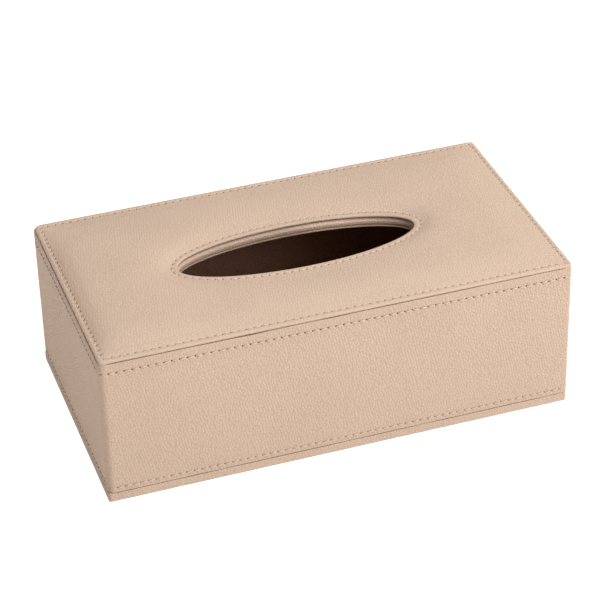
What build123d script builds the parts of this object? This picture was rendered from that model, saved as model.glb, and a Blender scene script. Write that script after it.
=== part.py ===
from build123d import *
import math
import os

# Rectangular tissue box cover: leatherette over board, a padded top with an oval opening, and a base plate
# that hangs on a leather strip along the foot of the rear wall.
# Millimetres. +X runs along the length, -Y is the front, and the origin is under the middle of the base.

# Outer size
length = 250.0
width = 136.0
rim_height = 85.0
corner_radius = 2.8
base_corner_radius = 1.6

# Sheets and boards
leather_thickness = 1.2
folded_edge = 1.8
lining_thickness = 0.8
wall_board_thickness = 4.0
top_board_thickness = 4.0
base_board_thickness = 3.0
seam_gap = 0.2

# Oval opening and padded top
opening_half_length = 64.8
opening_half_width = 20.4
pad_rise = 2.2
shoulder = 12.0
shoulder_steps = 5
pad_corner_radius = 2.0
top_turn_in = 6.0
binding_turn_in = 4.4

# Stitching
thread_width = 0.8
thread_depth = 0.5
rim_stitch_inset = 3.3
rim_stitch_corner = 1.4
lip_stitch_offset = 3.2
stitch_to_pad = 0.9
wall_top_stitch_drop = 7.2
wall_bottom_stitch_rise = 2.6

# Base plate, its hinge and its catch
base_turn_in = 14.0
hinge_length = 234.0
hinge_wall_height = 5.4
hinge_corner_radius = 1.5
crease_radius = 0.4
magnet_length = 20.0
magnet_thickness = 3.0
magnet_height = 6.0
magnet_spacing = 140.0
strike_thickness = 1.0

# Heights, from the floor up
base_board_bottom = leather_thickness
base_board_top = base_board_bottom + base_board_thickness
base_top = base_board_top + leather_thickness
hinge_height = base_top + seam_gap / 2
hem_bottom = base_top + seam_gap
wall_bottom = hem_bottom + leather_thickness
rim_bottom = rim_height - folded_edge
board_top = rim_bottom - leather_thickness
board_bottom = board_top - top_board_thickness
lining_bottom = board_bottom - lining_thickness

# Plan sizes inside the skin
core_length = length - 2 * leather_thickness
core_width = width - 2 * leather_thickness
core_corner = corner_radius - leather_thickness
lined_length = core_length - 2 * wall_board_thickness
lined_width = core_width - 2 * wall_board_thickness
cavity_length = lined_length - 2 * lining_thickness
cavity_width = lined_width - 2 * lining_thickness
bound_half_length = opening_half_length + leather_thickness
bound_half_width = opening_half_width + leather_thickness
magnet_y = -(core_width - wall_board_thickness) / 2

# Edges that are folded over are round in proportion to the leather in the fold
fold_round = leather_thickness / 2
rim_round = folded_edge * 0.4
rim_under_round = folded_edge * 0.25

# The swell starts a little way from each row of stitching
pad_inset = rim_stitch_inset + thread_width / 2 + stitch_to_pad
pad_offset = lip_stitch_offset + thread_width / 2 + stitch_to_pad
foam_rise = folded_edge + pad_rise - leather_thickness

os.makedirs("parts", exist_ok=True)


def crowned_pad(seat_height, rise):
    """The swollen ring between the rim and the opening, with soft shoulders on both sides."""
    with BuildPart() as pad:
        for step in range(shoulder_steps + 1):
            share = step / shoulder_steps
            inset = pad_inset + shoulder * share
            height = seat_height + rise * math.sin(share * math.pi / 2)
            with BuildSketch(Plane.XY.offset(height)):
                RectangleRounded(length - 2 * inset, width - 2 * inset, pad_corner_radius + shoulder * share / 2)
        loft()
        for step in range(shoulder_steps + 1):
            share = step / shoulder_steps
            offset_out = pad_offset + shoulder * share
            height = seat_height + rise * math.sin(share * math.pi / 2)
            with BuildSketch(Plane.XY.offset(height)):
                Ellipse(opening_half_length + offset_out, opening_half_width + offset_out)
        loft(mode=Mode.SUBTRACT)
    return pad.part


foam_crown = crowned_pad(rim_bottom, foam_rise)
skin_crown = crowned_pad(rim_height, pad_rise)

# Stitching round the top's edge
with BuildPart() as top_edge_thread:
    with BuildSketch(Plane.XY.offset(rim_height - thread_depth)):
        outer_inset = rim_stitch_inset - thread_width / 2
        inner_inset = rim_stitch_inset + thread_width / 2
        RectangleRounded(length - 2 * outer_inset, width - 2 * outer_inset, rim_stitch_corner + thread_width / 2)
        RectangleRounded(
            length - 2 * inner_inset,
            width - 2 * inner_inset,
            rim_stitch_corner - thread_width / 2,
            mode=Mode.SUBTRACT,
        )
    extrude(amount=thread_depth)

# Stitching round the opening
with BuildPart() as opening_thread:
    with BuildSketch(Plane.XY.offset(rim_height - thread_depth)):
        outer_offset = lip_stitch_offset + thread_width / 2
        inner_offset = lip_stitch_offset - thread_width / 2
        Ellipse(opening_half_length + outer_offset, opening_half_width + outer_offset)
        Ellipse(opening_half_length + inner_offset, opening_half_width + inner_offset, mode=Mode.SUBTRACT)
    extrude(amount=thread_depth)

# The two rows round the walls share one outline
with BuildSketch() as wall_stitch_outline:
    RectangleRounded(length, width, corner_radius)
    RectangleRounded(
        length - 2 * thread_depth,
        width - 2 * thread_depth,
        corner_radius - thread_depth,
        mode=Mode.SUBTRACT,
    )

with BuildPart() as wall_top_thread:
    with BuildSketch(Plane.XY.offset(rim_height - wall_top_stitch_drop - thread_width / 2)):
        add(wall_stitch_outline.sketch)
    extrude(amount=thread_width)

with BuildPart() as wall_bottom_thread:
    with BuildSketch(Plane.XY.offset(hem_bottom + wall_bottom_stitch_rise - thread_width / 2)):
        add(wall_stitch_outline.sketch)
    extrude(amount=thread_width)

# The place of the hinge strip, let into the skins of the wall and of the base
with BuildPart() as hinge_place:
    with BuildSketch(Plane.XZ.offset(-width / 2)):
        with Locations((0, base_board_bottom)):
            Rectangle(
                hinge_length,
                hem_bottom + hinge_wall_height - base_board_bottom,
                align=(Align.CENTER, Align.MIN),
            )
        fillet(vertices(), hinge_corner_radius)
    extrude(amount=leather_thickness)

# Hinge strip: glued to the base, sewn to the rear wall, and creased where it bends
with BuildPart() as hinge_strip:
    add(hinge_place.part)
    with Locations((0, width / 2, hinge_height)):
        Cylinder(crease_radius, hinge_length, rotation=(0, 90, 0), mode=Mode.SUBTRACT)
    add(wall_bottom_thread.part, mode=Mode.SUBTRACT)

# Skin of the padded top: a folded rim and lip, swollen between the rows of stitching
with BuildPart() as top_leather:
    with BuildSketch(Plane.XY.offset(rim_bottom)):
        RectangleRounded(length, width, corner_radius)
        Ellipse(opening_half_length, opening_half_width, mode=Mode.SUBTRACT)
    extrude(amount=folded_edge)
    fillet(edges().group_by(Axis.Z)[-1], rim_round)
    fillet(edges().group_by(Axis.Z)[0], rim_under_round)
    add(skin_crown)
    add(foam_crown, mode=Mode.SUBTRACT)
    add(top_edge_thread.part, mode=Mode.SUBTRACT)
    add(opening_thread.part, mode=Mode.SUBTRACT)

# Foam under the skin: it lies on the top board, between the turned-in edges of the leather
with BuildPart() as top_foam:
    with BuildSketch(Plane.XY.offset(board_top)):
        Rectangle(length - 2 * top_turn_in, width - 2 * top_turn_in)
        Ellipse(
            opening_half_length + binding_turn_in,
            opening_half_width + binding_turn_in,
            mode=Mode.SUBTRACT,
        )
    extrude(amount=leather_thickness)
    add(foam_crown)

# Board of the top, with the oval hole
with BuildPart() as top_board:
    with BuildSketch(Plane.XY.offset(board_bottom)):
        RectangleRounded(core_length, core_width, core_corner)
        Ellipse(bound_half_length, bound_half_width, mode=Mode.SUBTRACT)
    extrude(amount=top_board_thickness)

# Leather that lines the wall of the opening and turns out over the board
with BuildPart() as opening_binding:
    with BuildSketch(Plane.XY.offset(lining_bottom)):
        Ellipse(bound_half_length, bound_half_width)
    extrude(amount=rim_bottom - lining_bottom)
    with BuildSketch(Plane.XY.offset(board_top)):
        Ellipse(opening_half_length + binding_turn_in, opening_half_width + binding_turn_in)
    extrude(amount=leather_thickness)
    with BuildSketch(Plane.XY.offset(lining_bottom)):
        Ellipse(opening_half_length, opening_half_width)
    extrude(amount=rim_bottom - lining_bottom, mode=Mode.SUBTRACT)
    mouth_edges = edges().group_by(Axis.Z)[-1].sort_by(SortBy.LENGTH)[:1]
    foot_edges = edges().group_by(Axis.Z)[0].sort_by(SortBy.LENGTH)[:1]
    fillet(mouth_edges + foot_edges, fold_round / 2)

# Lining under the top board
with BuildPart() as top_lining:
    with BuildSketch(Plane.XY.offset(lining_bottom)):
        Rectangle(lined_length, lined_width)
        Ellipse(bound_half_length, bound_half_width, mode=Mode.SUBTRACT)
    extrude(amount=lining_thickness)

# Skin of the walls: turned in over the top board, and under the wall boards at the hem
with BuildPart() as wall_leather:
    with BuildSketch(Plane.XY.offset(hem_bottom)):
        RectangleRounded(length, width, corner_radius)
    extrude(amount=rim_bottom - hem_bottom)
    fillet(edges().group_by(Axis.Z)[0] + edges().group_by(Axis.Z)[-1], fold_round)
    with BuildSketch(Plane.XY.offset(wall_bottom)):
        RectangleRounded(core_length, core_width, core_corner)
    extrude(amount=board_top - wall_bottom, mode=Mode.SUBTRACT)
    with BuildSketch(Plane.XY.offset(board_top)):
        Rectangle(length - 2 * top_turn_in, width - 2 * top_turn_in)
    extrude(amount=leather_thickness, mode=Mode.SUBTRACT)
    with BuildSketch(Plane.XY.offset(hem_bottom)):
        Rectangle(cavity_length, cavity_width)
    extrude(amount=leather_thickness, mode=Mode.SUBTRACT)
    add(hinge_place.part, mode=Mode.SUBTRACT)
    add(wall_top_thread.part, mode=Mode.SUBTRACT)
    add(wall_bottom_thread.part, mode=Mode.SUBTRACT)

# Lining of the walls
with BuildPart() as wall_lining:
    with BuildSketch(Plane.XY.offset(wall_bottom)):
        Rectangle(lined_length, lined_width)
        Rectangle(cavity_length, cavity_width, mode=Mode.SUBTRACT)
    extrude(amount=lining_bottom - wall_bottom)

# Magnets in the foot of the front wall
with BuildPart() as wall_magnets:
    with BuildSketch(Plane.XY.offset(wall_bottom)):
        with Locations((-magnet_spacing / 2, magnet_y), (magnet_spacing / 2, magnet_y)):
            Rectangle(magnet_length, magnet_thickness)
    extrude(amount=magnet_height)

# Boards of the walls: the long ones run the full length and the short ones stand between them
with BuildPart() as front_wall_board:
    with BuildSketch(Plane.XY.offset(wall_bottom)):
        with Locations((0, -(core_width - wall_board_thickness) / 2)):
            Rectangle(core_length, wall_board_thickness)
        fillet(vertices().group_by(Axis.Y)[0], core_corner)
    extrude(amount=board_bottom - wall_bottom)
    add(wall_magnets.part, mode=Mode.SUBTRACT)

with BuildPart() as back_wall_board:
    with BuildSketch(Plane.XY.offset(wall_bottom)):
        with Locations((0, (core_width - wall_board_thickness) / 2)):
            Rectangle(core_length, wall_board_thickness)
        fillet(vertices().group_by(Axis.Y)[-1], core_corner)
    extrude(amount=board_bottom - wall_bottom)

with BuildPart() as left_wall_board:
    with BuildSketch(Plane.XY.offset(wall_bottom)):
        with Locations((-(core_length - wall_board_thickness) / 2, 0)):
            Rectangle(wall_board_thickness, lined_width)
    extrude(amount=board_bottom - wall_bottom)

with BuildPart() as right_wall_board:
    mirror(left_wall_board.part, about=Plane.YZ)

# Base plate: plates for the magnets, board, skin and lining
with BuildPart() as strike_plates:
    with BuildSketch(Plane.XY.offset(base_board_top - strike_thickness)):
        with Locations((-magnet_spacing / 2, magnet_y), (magnet_spacing / 2, magnet_y)):
            Rectangle(magnet_length, magnet_thickness)
    extrude(amount=strike_thickness)

with BuildPart() as base_board:
    with BuildSketch(Plane.XY.offset(base_board_bottom)):
        Rectangle(core_length, core_width)
    extrude(amount=base_board_thickness)
    add(strike_plates.part, mode=Mode.SUBTRACT)

with BuildPart() as base_leather:
    with BuildSketch():
        RectangleRounded(length, width, base_corner_radius)
    extrude(amount=base_top)
    fillet(edges().group_by(Axis.Z)[0] + edges().group_by(Axis.Z)[-1], fold_round)
    with BuildSketch(Plane.XY.offset(base_board_bottom)):
        Rectangle(core_length, core_width)
    extrude(amount=base_board_thickness, mode=Mode.SUBTRACT)
    with BuildSketch(Plane.XY.offset(base_board_top)):
        Rectangle(length - 2 * base_turn_in, width - 2 * base_turn_in)
    extrude(amount=leather_thickness, mode=Mode.SUBTRACT)
    add(hinge_place.part, mode=Mode.SUBTRACT)

with BuildPart() as base_lining:
    with BuildSketch(Plane.XY.offset(base_board_top)):
        Rectangle(length - 2 * base_turn_in, width - 2 * base_turn_in)
    extrude(amount=lining_thickness)

# Each piece is written under its own name
pieces = {
    "top_leather": top_leather,
    "top_foam": top_foam,
    "top_board": top_board,
    "top_lining": top_lining,
    "opening_binding": opening_binding,
    "top_edge_thread": top_edge_thread,
    "opening_thread": opening_thread,
    "wall_leather": wall_leather,
    "wall_lining": wall_lining,
    "front_wall_board": front_wall_board,
    "back_wall_board": back_wall_board,
    "left_wall_board": left_wall_board,
    "right_wall_board": right_wall_board,
    "wall_top_thread": wall_top_thread,
    "wall_bottom_thread": wall_bottom_thread,
    "wall_magnets": wall_magnets,
    "strike_plates": strike_plates,
    "base_leather": base_leather,
    "base_board": base_board,
    "base_lining": base_lining,
    "hinge_strip": hinge_strip,
}
for name, piece in pieces.items():
    piece.part.label = name
    export_step(piece.part, f"parts/{name}.step")
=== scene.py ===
# %% [markdown]
# # A stitched leatherette tissue box cover
# The real cover is boards wrapped in grained leatherette: a padded top with an oval opening, four plain
# walls and a base plate that opens on a leather hinge strip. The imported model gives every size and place,
# so it is loaded first and never moved. Each step below then replaces one plain solid by a piece with its
# real finish.

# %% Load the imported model
import math

import bpy
import numpy as np
from mathutils import Matrix, Vector, noise


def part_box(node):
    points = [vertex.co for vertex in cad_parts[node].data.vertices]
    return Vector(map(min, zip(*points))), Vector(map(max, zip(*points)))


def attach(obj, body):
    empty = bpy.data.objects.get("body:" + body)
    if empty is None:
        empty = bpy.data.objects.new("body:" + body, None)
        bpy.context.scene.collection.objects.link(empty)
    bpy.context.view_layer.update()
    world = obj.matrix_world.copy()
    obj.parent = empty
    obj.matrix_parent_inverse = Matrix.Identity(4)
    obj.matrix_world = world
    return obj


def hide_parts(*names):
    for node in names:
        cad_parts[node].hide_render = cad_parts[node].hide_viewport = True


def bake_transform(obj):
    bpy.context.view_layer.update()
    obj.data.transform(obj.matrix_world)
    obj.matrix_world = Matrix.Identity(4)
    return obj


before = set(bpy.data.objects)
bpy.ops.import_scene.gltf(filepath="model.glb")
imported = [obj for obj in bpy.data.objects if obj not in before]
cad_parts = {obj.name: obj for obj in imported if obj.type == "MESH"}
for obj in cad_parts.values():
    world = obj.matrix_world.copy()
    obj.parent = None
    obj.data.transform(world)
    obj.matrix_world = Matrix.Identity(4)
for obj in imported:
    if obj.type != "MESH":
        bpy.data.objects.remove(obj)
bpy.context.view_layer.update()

MM = 0.001

# %% [markdown]
# ## The sizes that everything follows
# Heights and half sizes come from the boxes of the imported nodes, so the skins stay where the solids are.
# What a box can't say, such as a corner's radius or how far a stitch row lies from an edge, is named here
# once. Corner radii go round the box from the front left.

# %% Read the heights and half sizes
top_low, top_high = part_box("top_leather")
wall_low, wall_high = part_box("wall_leather")
base_low, base_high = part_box("base_leather")
strip_low, strip_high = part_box("hinge_strip")
rim_row_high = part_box("top_edge_thread")[1]
lip_row_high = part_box("opening_thread")[1]
upper_row_low, upper_row_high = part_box("wall_top_thread")
lower_row_low, lower_row_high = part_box("wall_bottom_thread")
binding_low, binding_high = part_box("opening_binding")
wall_lining_low, wall_lining_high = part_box("wall_lining")
top_lining_low, top_lining_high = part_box("top_lining")
base_lining_low, base_lining_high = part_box("base_lining")

half_length = top_high.x
half_width = top_high.y
rim_top = rim_row_high.z
rim_under = top_low.z
crown_top = top_high.z
wall_bottom = wall_low.z
wall_top = wall_high.z
base_top = base_high.z
thread_width = upper_row_high.z - upper_row_low.z
upper_row_height = (upper_row_low.z + upper_row_high.z) / 2
lower_row_height = (lower_row_low.z + lower_row_high.z) / 2
rim_row_inset = half_length - rim_row_high.x + thread_width / 2

wall_corners = np.array((3.4, 1.2, 1.6, 3.0)) * MM
top_corners = np.array((2.4, 2.4, 2.4, 4.2)) * MM
base_corners = (1.2 * MM,) * 4
skin = 1.2 * MM
turn_in = 6 * MM
lip_row_offset = 3.2 * MM
upper_seam = rim_under + 0.45 * MM
lower_seam = (base_top + wall_bottom) / 2 - 0.25 * MM
opening_half_length = lip_row_high.x - thread_width / 2 - lip_row_offset
opening_half_width = lip_row_high.y - thread_width / 2 - lip_row_offset
print("opening, mm:", round(2 * opening_half_length / MM, 1), "by", round(2 * opening_half_width / MM, 1))

# %% [markdown]
# ## Camera
# The photograph was taken with a long lens, slightly from the left and from above. The lens, the three
# angles and the distance below come from fitting the box's corners to the picture, so the render lines up
# with it.

# %% Place the camera
def new_object(name, data):
    """An object in the scene that shows some data, such as a mesh, a light or a camera."""
    made = bpy.data.objects.new(name, data)
    bpy.context.scene.collection.objects.link(made)
    return made


camera_azimuth = math.radians(-17.88)
camera_elevation = math.radians(33.5)
camera_roll = math.radians(-1.62)
camera_distance = 1.261
lens_length = 143.05
sensor_width = 36
look_at = Vector((0, 0, 42.48 * MM))
slide_right = -0.30 * MM
slide_up = -6.88 * MM

back = Vector((
    math.sin(camera_azimuth) * math.cos(camera_elevation),
    -math.cos(camera_azimuth) * math.cos(camera_elevation),
    math.sin(camera_elevation),
))
level_right = Vector((math.cos(camera_azimuth), math.sin(camera_azimuth), 0))
level_up = back.cross(level_right)
right = math.cos(camera_roll) * level_right + math.sin(camera_roll) * level_up
up = math.cos(camera_roll) * level_up - math.sin(camera_roll) * level_right
eye = look_at + camera_distance * back - slide_right * right - slide_up * up

camera_data = bpy.data.cameras.new("camera")
camera_data.lens = lens_length
camera_data.sensor_width = sensor_width
camera = new_object("camera", camera_data)
camera.matrix_world = Matrix.Translation(eye) @ Matrix((right, up, back)).transposed().to_4x4()
bpy.context.scene.camera = camera
print("camera at", [round(value, 3) for value in eye])

# %% [markdown]
# ## Helpers for node trees
# Materials and Geometry Nodes are both node trees. One small function adds a node, sets its options and
# feeds its inputs: each is linked to another node's output or filled with a value. The others stand for the
# nodes that are used most, which keeps a tree's recipe readable as one line per node.

# %% Add nodes to a tree
def feed(tree, node, inputs):
    """Feeds a node: `inputs` maps an input's name or number to a value or to another node's output."""
    for key, value in inputs.items():
        if isinstance(value, bpy.types.NodeSocket):
            tree.links.new(value, node.inputs[key])
        else:
            node.inputs[key].default_value = value


def add(tree, kind, inputs=None, **options):
    """Adds a node, sets its options and feeds it."""
    node = tree.nodes.new(kind)
    for option, value in options.items():
        setattr(node, option, value)
    feed(tree, node, inputs or {})
    return node


def calculate(tree, operation, first, second=0.0):
    """The output of a Math node."""
    return add(tree, "ShaderNodeMath", {0: first, 1: second}, operation=operation).outputs[0]


def times(tree, first, second):
    """The product of two values."""
    return calculate(tree, "MULTIPLY", first, second)


def plus(tree, first, second, weight):
    """The first value plus the second one times its weight."""
    return calculate(tree, "ADD", first, times(tree, second, weight))


def vectors(tree, operation, inputs):
    """The output of a Vector Math node, which is a number for a length."""
    result = "Value" if operation == "LENGTH" else "Vector"
    return add(tree, "ShaderNodeVectorMath", inputs, operation=operation).outputs[result]


def ramp(tree, value, low, high, at_low, at_high):
    """The output of a Map Range node, which is clamped and eased at both ends."""
    sizes = {"Value": value, "From Min": low, "From Max": high, "To Min": at_low, "To Max": at_high}
    return add(tree, "ShaderNodeMapRange", sizes, interpolation_type="SMOOTHERSTEP").outputs[0]


def mix_colour(tree, share, first, second, blend="MIX"):
    """The colour output of a Mix node."""
    colours = {0: share, 6: first, 7: second}
    return add(tree, "ShaderNodeMix", colours, data_type="RGBA", blend_type=blend).outputs[2]


def speckle(tree, place, scale, detail, output="Fac"):
    """The output of a noise texture with `scale` waves to a metre."""
    waves = {"Vector": place, "Scale": scale, "Detail": detail}
    return add(tree, "ShaderNodeTexNoise", waves).outputs[output]


def bumps(tree, height, strength, distance):
    """The normal that a Bump node makes of a height."""
    sizes = {"Strength": strength, "Distance": distance, "Height": height}
    return add(tree, "ShaderNodeBump", sizes).outputs[0]


def new_material(name):
    """An empty node material with its shader, and the object's own coordinates in metres."""
    material = bpy.data.materials.new(name)
    material.use_nodes = True
    tree = material.node_tree
    shader = tree.nodes["Principled BSDF"]
    place = add(tree, "ShaderNodeTexCoord").outputs["Object"]
    return material, tree, shader, place


def attribute(tree, name):
    """The value of a piece's own attribute, 0 where the piece has none."""
    return add(tree, "ShaderNodeAttribute", attribute_name=name).outputs["Fac"]


print("node helpers ready")

# %% [markdown]
# ## Grained leatherette
# The skin is a beige coated cloth with an embossed grain: pebbles 1.4 mm wide, a little longer up the walls
# and over the top, in rows that lean by 15 degrees. On the end walls the lean is about their own outward
# axis. A warped Voronoi texture gives the pebbles and the creases between them, and noises give pores, slow
# folds and a drift of colour. Where the skin is stretched over foam its grain is flatter. The pieces carry
# attributes that say where a needle went in, where a seam pulls the skin down, where a folded edge is
# pressed smooth, where two skins meet, where the skin is painted lighter, and where tight thread gathers it
# into fine puckers. Much of the colour read from them is painted light and shade: needle holes, seam
# valleys, pressed edges and the seams between skins are painted darker as shade, the puckers get painted
# light and shade, and some places are painted lighter as painted light. The same material then follows
# every seam.

# %% Make the leatherette
leather_colour = (0.565, 0.424, 0.326, 1)
# The binding's colour is lighter than the leather's, as painted light.
painted_light_binding_colour = (0.64, 0.465, 0.35, 1)
crease_colour = (0.44, 0.318, 0.238, 1)
# The needle colour is painted shade inside each hole, and the colour at the seams between skins is painted
# shade.
painted_hole_shade_colour = (0.07, 0.034, 0.02, 1)
painted_groove_shade_colour = (0.17, 0.105, 0.075, 1)
pebbles_per_metre = 720
pebble_shift = 0.3 * MM
grain_depth = 0.2 * MM
grain_turn = math.radians(15)
skin_marks = ("needle_hole", "seam_valley", "pressed_edge", "groove", "gathered", "along_seam", "paled")


def leatherette(name, emboss, stretch, turn, base_colour=leather_colour):
    material, tree, shader, place = new_material(name)
    hole, valley, pressed, groove, gathered, along, paled = (attribute(tree, mark) for mark in skin_marks)

    at_end = calculate(tree, "GREATER_THAN", attribute(tree, "end_wall"), 0.5)
    turns = {0: at_end, 4: turn, 5: (turn[1], turn[0], turn[2])}
    turned = add(tree, "ShaderNodeMix", turns, data_type="VECTOR").outputs[1]
    layout = {"Vector": place, "Scale": stretch, "Rotation": turned}
    drawn = add(tree, "ShaderNodeMapping", layout).outputs[0]
    drift = speckle(tree, drawn, scale=420, detail=2, output="Color")
    pull = vectors(tree, "SUBTRACT", {0: drift, 1: (0.5, 0.5, 0.5)})
    shift = vectors(tree, "SCALE", {0: pull, "Scale": pebble_shift})
    warped = vectors(tree, "ADD", {0: drawn, 1: shift})
    cells = {"Vector": warped, "Scale": pebbles_per_metre, "Randomness": 0.6}
    edge = add(tree, "ShaderNodeTexVoronoi", cells, feature="DISTANCE_TO_EDGE").outputs["Distance"]
    dome = add(tree, "ShaderNodeTexVoronoi", cells, feature="F1").outputs["Distance"]
    pores = speckle(tree, drawn, scale=1300, detail=2)
    folds = speckle(tree, drawn, scale=260, detail=2)
    patches = speckle(tree, place, scale=24, detail=3)

    crease = ramp(tree, edge, 0.0, 0.2, 1.0, 0.0)
    rounding = ramp(tree, dome, 0.1, 0.75, 1.0, 0.0)
    pebble = calculate(tree, "SUBTRACT", rounding, times(tree, crease, 0.7))
    relief = plus(tree, pebble, pores, 1.2)
    relief = plus(tree, relief, folds, 0.03)
    waver = plus(tree, times(tree, along, 2 * math.pi), folds, 9.0)
    pucker = times(tree, calculate(tree, "SINE", waver), gathered)
    relief = calculate(tree, "ADD", relief, pucker)
    strength = ramp(tree, pressed, 0.0, 1.0, 0.75 * emboss, 0.45)

    creased = times(tree, crease, ramp(tree, pressed, 0.0, 1.0, 0.7 * emboss, 0.25))
    colour = mix_colour(tree, creased, base_colour, crease_colour)
    # On top of a random tone, painted shade darkens seam valleys and pressed edges, the puckers get painted
    # light and shade, and the skin is painted lighter where painted light is marked.
    shade = ramp(tree, patches, 0.3, 0.7, 0.985, 1.015)
    shade = times(tree, shade, ramp(tree, valley, 0.0, 1.0, 1.0, 0.95))
    shade = times(tree, shade, ramp(tree, pressed, 0.0, 1.0, 1.0, 0.96))
    shade = plus(tree, shade, pucker, 0.03)
    shade = times(tree, shade, calculate(tree, "ADD", paled, 1.0))
    grey = add(tree, "ShaderNodeCombineColor", {"Red": shade, "Green": shade, "Blue": shade}).outputs[0]
    colour = mix_colour(tree, 1.0, colour, grey, "MULTIPLY")
    # Painted shade: the seams between skins and the needle holes are darkened.
    colour = mix_colour(tree, groove, colour, painted_groove_shade_colour)
    colour = mix_colour(tree, ramp(tree, hole, 0.08, 0.45, 0.0, 1.0), colour, painted_hole_shade_colour)

    feed(tree, shader, {
        "Base Color": colour,
        "Roughness": plus(tree, ramp(tree, folds, 0.3, 0.7, 0.54, 0.62), crease, 0.12),
        "Normal": bumps(tree, relief, strength, grain_depth),
        "Specular IOR Level": 0.12,
    })
    return material


leather = leatherette("grained_leatherette", 0.72, (1, 1, 0.85), (0, grain_turn, 0))
stretched_leather = leatherette("stretched_leatherette", 0.58, (1, 0.85, 1), (0, 0, grain_turn))
# The binding gets a lighter copy of the leatherette, as painted light.
binding_leather_painted_light = leatherette("binding_leatherette", 0.6, (1, 1, 0.85), (0, grain_turn, 0), painted_light_binding_colour)
print("materials", leather.name, stretched_leather.name, binding_leather_painted_light.name)

# %% [markdown]
# ## Thread and lining
# The sewing thread is twisted, so its bump follows a "ply" attribute that winds round each stitch. The
# lining is a dark brown flocked cloth: short pile, no gloss, a little sheen. Its colour is set to a lighter
# mid brown, as painted light inside the box.

# %% Make the thread and the lining
def sewing_thread():
    material, tree, shader, place = new_material("sewing_thread")
    wave = calculate(tree, "SINE", times(tree, attribute(tree, "ply"), 2 * math.pi))
    height = calculate(tree, "ADD", wave, speckle(tree, place, scale=3500, detail=2))
    # Painted shade: the hollows of the twist are darker.
    painted_ply_shade = ramp(tree, wave, -1.0, 0.2, 1.0, 0.0)
    feed(tree, shader, {
        "Base Color": mix_colour(tree, painted_ply_shade, (0.68, 0.52, 0.39, 1), (0.46, 0.33, 0.235, 1)),
        "Normal": bumps(tree, height, strength=0.5, distance=0.07 * MM),
        "Roughness": 0.6,
        "Sheen Weight": 0.25,
    })
    return material


def flocked_lining():
    material, tree, shader, place = new_material("flocked_lining")
    pile = speckle(tree, place, scale=2200, detail=4)
    brushed = speckle(tree, place, scale=45, detail=3)
    tone = plus(tree, times(tree, pile, 0.8), brushed, 0.2)
    mixed = ramp(tree, tone, 0.35, 0.65, 0.0, 1.0)
    feed(tree, shader, {
        # Painted light: both colours are lighter than the dark brown cloth.
        "Base Color": mix_colour(tree, mixed, (0.225, 0.12, 0.074, 1), (0.375, 0.21, 0.136, 1)),
        "Normal": bumps(tree, pile, strength=0.8, distance=0.2 * MM),
        "Roughness": 0.95,
        "Specular IOR Level": 0.2,
        "Sheen Weight": 0.2,
        "Sheen Tint": (0.5, 0.33, 0.22, 1),
    })
    return material


thread = sewing_thread()
lining = flocked_lining()
print("materials", thread.name, lining.name)

# %% [markdown]
# ## Board, foam and steel
# The hidden boards, foam, magnets and strike plates keep their solids, and still get a finish of their own,
# because they show in an exploded view.

# %% Finish the hidden solids
def pressed_board():
    material, tree, shader, place = new_material("pressed_board")
    fibres = speckle(tree, place, scale=700, detail=6)
    chips = add(tree, "ShaderNodeTexVoronoi", {"Vector": place, "Scale": 900}).outputs["Distance"]
    mixed = ramp(tree, plus(tree, fibres, chips, 0.3), 0.4, 0.9, 0.0, 1.0)
    feed(tree, shader, {
        "Base Color": mix_colour(tree, mixed, (0.30, 0.19, 0.11, 1), (0.52, 0.38, 0.24, 1)),
        "Normal": bumps(tree, fibres, strength=0.3, distance=0.1 * MM),
        "Roughness": 0.85,
    })
    return material


def pad_foam():
    material, tree, shader, place = new_material("pad_foam")
    pores = add(tree, "ShaderNodeTexVoronoi", {"Vector": place, "Scale": 1400}).outputs["Distance"]
    # Painted shade: the pits of the pores are darker.
    mixed = ramp(tree, pores, 0.1, 0.6, 0.0, 1.0)
    feed(tree, shader, {
        "Base Color": mix_colour(tree, mixed, (0.58, 0.53, 0.40, 1), (0.83, 0.80, 0.68, 1)),
        "Normal": bumps(tree, pores, strength=0.7, distance=0.25 * MM),
        "Roughness": 0.95,
    })
    return material


def plated_steel(name, dark, light, rough):
    material, tree, shader, place = new_material(name)
    brushed = add(tree, "ShaderNodeMapping", {"Vector": place, "Scale": (60, 1800, 1800)}).outputs[0]
    lines = speckle(tree, brushed, scale=1, detail=4)
    feed(tree, shader, {
        "Base Color": mix_colour(tree, ramp(tree, lines, 0.3, 0.7, 0.0, 1.0), dark, light),
        "Normal": bumps(tree, lines, strength=0.15, distance=0.05 * MM),
        "Roughness": ramp(tree, lines, 0.3, 0.7, rough, rough + 0.12),
        "Metallic": 1,
    })
    return material


board = pressed_board()
foam = pad_foam()
magnet = plated_steel("magnet_plating", (0.20, 0.20, 0.21, 1), (0.34, 0.34, 0.35, 1), 0.35)
steel = plated_steel("strike_steel", (0.42, 0.42, 0.43, 1), (0.60, 0.60, 0.61, 1), 0.28)

wall_boards = ("front_wall_board", "back_wall_board", "left_wall_board", "right_wall_board")
hidden_finish = {"top_foam": foam, "wall_magnets": magnet, "strike_plates": steel}
hidden_finish.update(dict.fromkeys(("top_board", "base_board", *wall_boards), board))
for node_name, finish in hidden_finish.items():
    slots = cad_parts[node_name].data.materials
    slots.clear()
    slots.append(finish)
print("finishes on", len(hidden_finish), "hidden solids")

# %% [markdown]
# ## Stations round the box
# Every skin is swept round the same rounded rectangle. A station is one place on that outline: a point on
# the rectangle of corner centres and the direction outwards from it. The outline at any inset is then that
# point plus the direction times the corner's radius there, so all the rings of a skin line up without
# twisting. Stations crowd round the needle holes, where the skin dips, and a row starts in the middle of a
# corner.

# %% Lay out the stations
corners = ((-1, -1), (1, -1), (1, 1), (-1, 1))
marks_per_stitch = (0, 0.07, 0.16, 0.33, 0.5, 0.67, 0.84, 0.93)
travel_per_side = 100


def clamp(values):
    """Values held between 0 and 1."""
    return np.clip(values, 0, 1)


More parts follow.
